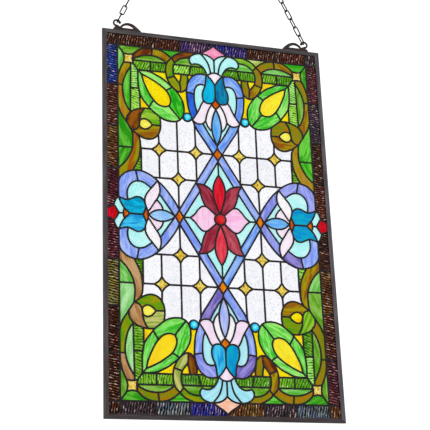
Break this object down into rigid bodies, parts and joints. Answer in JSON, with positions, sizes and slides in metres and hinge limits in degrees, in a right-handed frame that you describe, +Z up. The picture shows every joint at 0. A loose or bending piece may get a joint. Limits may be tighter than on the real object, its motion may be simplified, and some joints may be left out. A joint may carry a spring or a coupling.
{
  "type": "stained glass window panel",
  "caption": "Upright rectangular stained glass panel of leaded scrollwork, lilies and leaves in a channel frame, hung by two chains from a ring.",
  "frame": {"origin": "where a wall or ceiling hook bears on the inside of the hanging ring, at its top", "axes": "+Z up, +X to the right seen from the front, and the front faces -Y; the glass lies on Y = 0"},
  "size_m": [0.52, 0.0126, 1.4019],
  "materials": {
    "zinc": "dark patinated zinc",
    "solder": "black patina over solder",
    "iron": "blackened",
    "glass_border": "textured art glass",
    "glass_vine": "textured art glass",
    "glass_leaf": "textured art glass",
    "glass_gold": "textured art glass",
    "glass_clear": "textured art glass",
    "glass_pink": "textured art glass",
    "glass_red": "textured art glass",
    "glass_dark_red": "textured art glass",
    "glass_aqua": "textured art glass",
    "glass_periwinkle": "textured art glass",
    "glass_turquoise": "textured art glass"
  },
  "bodies": {
    "root": {"frame_left": "zinc", "frame_right": "zinc", "frame_top": "zinc", "frame_bottom": "zinc", "solder_lines": "solder", "border_glass_top_left": "glass_border", "upper_scroll_top_left": "glass_vine", "side_scroll_top_left": "glass_vine", "leaf_blade_top_left": "glass_leaf", "leaf_heart_top_left": "glass_gold", "clear_lattice_top_left": "glass_clear", "dark_petal_top_left": "glass_dark_red", "border_glass_bottom_left": "glass_border", "upper_scroll_bottom_left": "glass_vine", "side_scroll_bottom_left": "glass_vine", "leaf_blade_bottom_left": "glass_leaf", "leaf_heart_bottom_left": "glass_gold", "clear_lattice_bottom_left": "glass_clear", "dark_petal_bottom_left": "glass_dark_red", "border_glass_top_right": "glass_border", "upper_scroll_top_right": "glass_vine", "side_scroll_top_right": "glass_vine", "leaf_blade_top_right": "glass_leaf", "leaf_heart_top_right": "glass_gold", "clear_lattice_top_right": "glass_clear", "dark_petal_top_right": "glass_dark_red", "border_glass_bottom_right": "glass_border", "upper_scroll_bottom_right": "glass_vine", "side_scroll_bottom_right": "glass_vine", "leaf_blade_bottom_right": "glass_leaf", "leaf_heart_bottom_right": "glass_gold", "clear_lattice_bottom_right": "glass_clear", "dark_petal_bottom_right": "glass_dark_red", "finial_top": "glass_pink", "finial_bottom": "glass_pink", "finial_left": "glass_red", "finial_right": "glass_red", "lily_top": "glass_aqua", "lily_bottom": "glass_aqua", "lily_left": "glass_aqua", "lily_right": "glass_aqua", "ribbon_top": "glass_periwinkle", "ribbon_bottom": "glass_periwinkle", "ribbon_left": "glass_periwinkle", "ribbon_right": "glass_periwinkle", "red_petal_top": "glass_red", "red_petal_bottom": "glass_red", "pink_petal_left": "glass_pink", "pink_petal_right": "glass_pink", "jewel_centre": "glass_red", "jewel_top_left": "glass_turquoise", "jewel_bottom_left": "glass_turquoise", "jewel_top_right": "glass_turquoise", "jewel_bottom_right": "glass_turquoise", "hanger_left": "iron", "hanger_right": "iron", "chain_left": "iron", "chain_right": "iron", "hanging_ring": "iron"}
  },
  "joints": []
}
